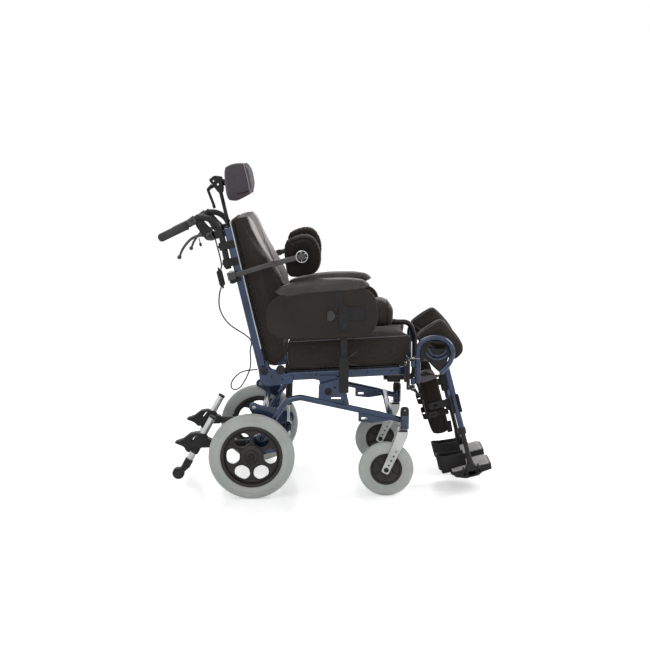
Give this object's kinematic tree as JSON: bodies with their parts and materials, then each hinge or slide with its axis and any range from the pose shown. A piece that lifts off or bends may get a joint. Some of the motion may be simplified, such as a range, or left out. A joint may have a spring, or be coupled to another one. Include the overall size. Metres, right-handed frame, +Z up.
{
  "type": "tilt in space wheelchair",
  "caption": "Attendant wheelchair with tilting seat, reclining back, headrest, trunk supports, pommel and elevating legrests.",
  "frame": {"origin": "on the floor, under the middle of the chair's length and width", "axes": "+X forwards, +Y to the sitter's left, +Z up"},
  "size_m": [1.2177, 0.6108, 1.1983],
  "materials": {
    "frame_blue": "metallic gloss",
    "black_metal": "satin powder coat",
    "bare_aluminium": "brushed anodised",
    "polished_rod": "polished",
    "tyre_grey": "matt",
    "rim_black": "satin",
    "black_plastic": "fine grained",
    "fabric_black": "knitted mesh cover",
    "soft_grey": "grained artificial leather",
    "footplate_grey": "moulded, matt"
  },
  "bodies": {
    "base": {"base_frame": "frame_blue", "right_anti_tip_receiver": "black_metal", "left_anti_tip_receiver": "black_metal"},
    "tilt_strut_rod": {"tilt_strut_rod": "polished_rod"},
    "tilt_strut_cylinder": {"tilt_strut_cylinder": "black_metal"},
    "seat": {"seat_frame": "frame_blue", "seat_pan": "black_plastic", "seat_cushion": "fabric_black", "right_legrest_bracket": "black_metal", "left_legrest_bracket": "black_metal"},
    "recline_strut_cylinder": {"recline_strut_cylinder": "black_metal"},
    "recline_strut_rod": {"recline_strut_rod": "polished_rod"},
    "back": {"back_frame": "frame_blue", "back_panel": "black_plastic", "back_cushion": "fabric_black", "control_cable": "black_plastic"},
    "headrest_stem": {"headrest_stem": "black_metal"},
    "headrest_pad": {"headrest_pad": "soft_grey"},
    "pommel": {"pommel_bar": "black_metal", "pommel_pad": "fabric_black"},
    "right_rear_wheel": {"right_rear_tyre": "tyre_grey", "right_rear_rim": "rim_black"},
    "right_caster_fork": {"right_caster_fork": "bare_aluminium"},
    "right_caster_wheel": {"right_caster_tyre": "tyre_grey", "right_caster_rim": "rim_black"},
    "right_anti_tip": {"right_anti_tip_leg": "bare_aluminium"},
    "right_anti_tip_roller": {"right_anti_tip_roller": "black_plastic"},
    "right_armrest": {"right_armrest_post": "black_metal", "right_armrest_pad": "soft_grey", "right_side_panel": "black_plastic"},
    "right_push_handle": {"right_push_handle": "black_metal"},
    "right_hand_lever": {"right_hand_lever": "black_plastic"},
    "right_trunk_support": {"right_lateral_arm": "black_metal", "right_lateral_pad": "fabric_black"},
    "right_legrest_hanger": {"right_legrest_hanger": "frame_blue", "right_knee_pad": "fabric_black"},
    "right_leg": {"right_leg_tube": "frame_blue"},
    "right_calf_pad": {"right_calf_pad": "fabric_black"},
    "right_foot_tube": {"right_foot_tube": "black_metal"},
    "right_footplate": {"right_footplate": "footplate_grey"},
    "left_rear_wheel": {"left_rear_tyre": "tyre_grey", "left_rear_rim": "rim_black"},
    "left_caster_fork": {"left_caster_fork": "bare_aluminium"},
    "left_caster_wheel": {"left_caster_tyre": "tyre_grey", "left_caster_rim": "rim_black"},
    "left_anti_tip": {"left_anti_tip_leg": "bare_aluminium"},
    "left_anti_tip_roller": {"left_anti_tip_roller": "black_plastic"},
    "left_armrest": {"left_armrest_post": "black_metal", "left_armrest_pad": "soft_grey", "left_side_panel": "black_plastic"},
    "left_push_handle": {"left_push_handle": "black_metal"},
    "left_hand_lever": {"left_hand_lever": "black_plastic"},
    "left_trunk_support": {"left_lateral_arm": "black_metal", "left_lateral_pad": "fabric_black"},
    "left_legrest_hanger": {"left_legrest_hanger": "frame_blue", "left_knee_pad": "fabric_black"},
    "left_leg": {"left_leg_tube": "frame_blue"},
    "left_calf_pad": {"left_calf_pad": "fabric_black"},
    "left_foot_tube": {"left_foot_tube": "black_metal"},
    "left_footplate": {"left_footplate": "footplate_grey"}
  },
  "joints": [
    {"name": "tilt", "type": "hinge", "parent": "base", "child": "seat", "pos_m": [0.00788, 0, 0.383], "axis": [0, -1, 0], "range_deg": [0, 20]},
    {"name": "recline", "type": "hinge", "parent": "seat", "child": "back", "pos_m": [-0.22412, 0, 0.455], "axis": [0, -1, 0], "range_deg": [0, 30]},
    {"name": "tilt_strut_swing", "type": "hinge", "parent": "base", "child": "tilt_strut_rod", "pos_m": [-0.14412, 0, 0.212], "axis": [0, -1, 0], "range_deg": [0, 0.11]},
    {"name": "tilt_strut_stroke", "type": "slide", "parent": "tilt_strut_rod", "child": "tilt_strut_cylinder", "axis": [0.0304, 0, 0.9995], "range_m": [-0.05157, 0]},
    {"name": "recline_strut_swing", "type": "hinge", "parent": "seat", "child": "recline_strut_cylinder", "pos_m": [0.06388, 0.07, 0.4014], "axis": [0, -1, 0], "range_deg": [-1.53, 0]},
    {"name": "recline_strut_stroke", "type": "slide", "parent": "recline_strut_cylinder", "child": "recline_strut_rod", "axis": [-0.9999, 0, 0.0125], "range_m": [-0.02492, 0]},
    {"name": "headrest_height", "type": "slide", "parent": "back", "child": "headrest_stem", "axis": [-0.2267, 0, 0.974], "range_m": [0, 0.06]},
    {"name": "headrest_tilt", "type": "hinge", "parent": "headrest_stem", "child": "headrest_pad", "pos_m": [-0.37892, 0, 1.12023], "axis": [0, 1, 0], "range_deg": [-12, 12]},
    {"name": "pommel_depth", "type": "slide", "parent": "seat", "child": "pommel", "axis": [1, 0, 0], "range_m": [0, 0.06]},
    {"name": "right_rear_wheel_spin", "type": "hinge", "parent": "base", "child": "right_rear_wheel", "pos_m": [-0.26812, -0.28, 0.155], "axis": [0, 1, 0], "continuous": true},
    {"name": "right_caster_swivel", "type": "hinge", "parent": "base", "child": "right_caster_fork", "pos_m": [0.28388, -0.245, 0.25], "axis": [0, 0, 1], "continuous": true},
    {"name": "right_caster_wheel_spin", "type": "hinge", "parent": "right_caster_fork", "child": "right_caster_wheel", "pos_m": [0.21788, -0.245, 0.1], "axis": [0, 1, 0], "continuous": true},
    {"name": "right_anti_tip_height", "type": "slide", "parent": "base", "child": "right_anti_tip", "axis": [-0.4856, 0, -0.8742], "range_m": [-0.018, 0.03]},
    {"name": "right_anti_tip_roller_spin", "type": "hinge", "parent": "right_anti_tip", "child": "right_anti_tip_roller", "pos_m": [-0.54212, -0.2, 0.072], "axis": [0, 1, 0], "continuous": true},
    {"name": "right_armrest_height", "type": "slide", "parent": "seat", "child": "right_armrest", "axis": [0, 0, 1], "range_m": [0, 0.04]},
    {"name": "right_push_handle_height", "type": "slide", "parent": "back", "child": "right_push_handle", "axis": [-0.2267, 0, 0.974], "range_m": [0, 0.08]},
    {"name": "right_hand_lever_squeeze", "type": "hinge", "parent": "right_push_handle", "child": "right_hand_lever", "pos_m": [-0.41457, -0.2, 0.94252], "axis": [0, 1, 0], "range_deg": [0, 25], "stiffness_Nm_per_rad": 2, "springref_deg": -17.19},
    {"name": "right_trunk_support_swing", "type": "hinge", "parent": "back", "child": "right_trunk_support", "pos_m": [-0.33584, -0.236, 0.80273], "axis": [0.2267, 0, -0.974], "range_deg": [0, 60]},
    {"name": "right_legrest_swing", "type": "hinge", "parent": "seat", "child": "right_legrest_hanger", "pos_m": [0.31388, -0.238, 0.45], "axis": [0, 0, -1], "range_deg": [0, 90]},
    {"name": "right_leg_elevation", "type": "hinge", "parent": "right_legrest_hanger", "child": "right_leg", "pos_m": [0.39688, -0.214, 0.52], "axis": [0, -1, 0], "range_deg": [0, 40]},
    {"name": "right_calf_pad_rock", "type": "hinge", "parent": "right_leg", "child": "right_calf_pad", "pos_m": [0.38768, -0.198, 0.32126], "axis": [0, 1, 0], "range_deg": [-6, 6]},
    {"name": "right_foot_tube_length", "type": "slide", "parent": "right_leg", "child": "right_foot_tube", "axis": [0.2521, 0, -0.9677], "range_m": [-0.04, 0.02]},
    {"name": "right_footplate_fold", "type": "hinge", "parent": "right_foot_tube", "child": "right_footplate", "pos_m": [0.53463, -0.192, 0.07846], "axis": [0.9677, 0, 0.2521], "range_deg": [0, 90]},
    {"name": "left_rear_wheel_spin", "type": "hinge", "parent": "base", "child": "left_rear_wheel", "pos_m": [-0.26812, 0.28, 0.155], "axis": [0, 1, 0], "continuous": true},
    {"name": "left_caster_swivel", "type": "hinge", "parent": "base", "child": "left_caster_fork", "pos_m": [0.28388, 0.245, 0.25], "axis": [0, 0, 1], "continuous": true},
    {"name": "left_caster_wheel_spin", "type": "hinge", "parent": "left_caster_fork", "child": "left_caster_wheel", "pos_m": [0.21788, 0.245, 0.1], "axis": [0, 1, 0], "continuous": true},
    {"name": "left_anti_tip_height", "type": "slide", "parent": "base", "child": "left_anti_tip", "axis": [-0.4856, 0, -0.8742], "range_m": [-0.018, 0.03]},
    {"name": "left_anti_tip_roller_spin", "type": "hinge", "parent": "left_anti_tip", "child": "left_anti_tip_roller", "pos_m": [-0.54212, 0.2, 0.072], "axis": [0, 1, 0], "continuous": true},
    {"name": "left_armrest_height", "type": "slide", "parent": "seat", "child": "left_armrest", "axis": [0, 0, 1], "range_m": [0, 0.04]},
    {"name": "left_push_handle_height", "type": "slide", "parent": "back", "child": "left_push_handle", "axis": [-0.2267, 0, 0.974], "range_m": [0, 0.08]},
    {"name": "left_hand_lever_squeeze", "type": "hinge", "parent": "left_push_handle", "child": "left_hand_lever", "pos_m": [-0.41457, 0.2, 0.94252], "axis": [0, 1, 0], "range_deg": [0, 25], "stiffness_Nm_per_rad": 2, "springref_deg": -17.19},
    {"name": "left_trunk_support_swing", "type": "hinge", "parent": "back", "child": "left_trunk_support", "pos_m": [-0.33584, 0.236, 0.80273], "axis": [-0.2267, 0, 0.974], "range_deg": [0, 60]},
    {"name": "left_legrest_swing", "type": "hinge", "parent": "seat", "child": "left_legrest_hanger", "pos_m": [0.31388, 0.238, 0.45], "axis": [0, 0, 1], "range_deg": [0, 90]},
    {"name": "left_leg_elevation", "type": "hinge", "parent": "left_legrest_hanger", "child": "left_leg", "pos_m": [0.39688, 0.214, 0.52], "axis": [0, -1, 0], "range_deg": [0, 40]},
    {"name": "left_calf_pad_rock", "type": "hinge", "parent": "left_leg", "child": "left_calf_pad", "pos_m": [0.38768, 0.198, 0.32126], "axis": [0, 1, 0], "range_deg": [-6, 6]},
    {"name": "left_foot_tube_length", "type": "slide", "parent": "left_leg", "child": "left_foot_tube", "axis": [0.2521, 0, -0.9677], "range_m": [-0.04, 0.02]},
    {"name": "left_footplate_fold", "type": "hinge", "parent": "left_foot_tube", "child": "left_footplate", "pos_m": [0.53463, 0.192, 0.07846], "axis": [-0.9677, 0, -0.2521], "range_deg": [0, 90]}
  ],
  "couplings": [
    {"joint": "tilt_strut_swing", "follows": "tilt", "ratio": 0.005},
    {"joint": "tilt_strut_stroke", "follows": "tilt", "m_per_rad": -0.14746},
    {"joint": "recline_strut_swing", "follows": "recline", "ratio": -0.05088},
    {"joint": "recline_strut_stroke", "follows": "recline", "m_per_rad": -0.0474}
  ]
}
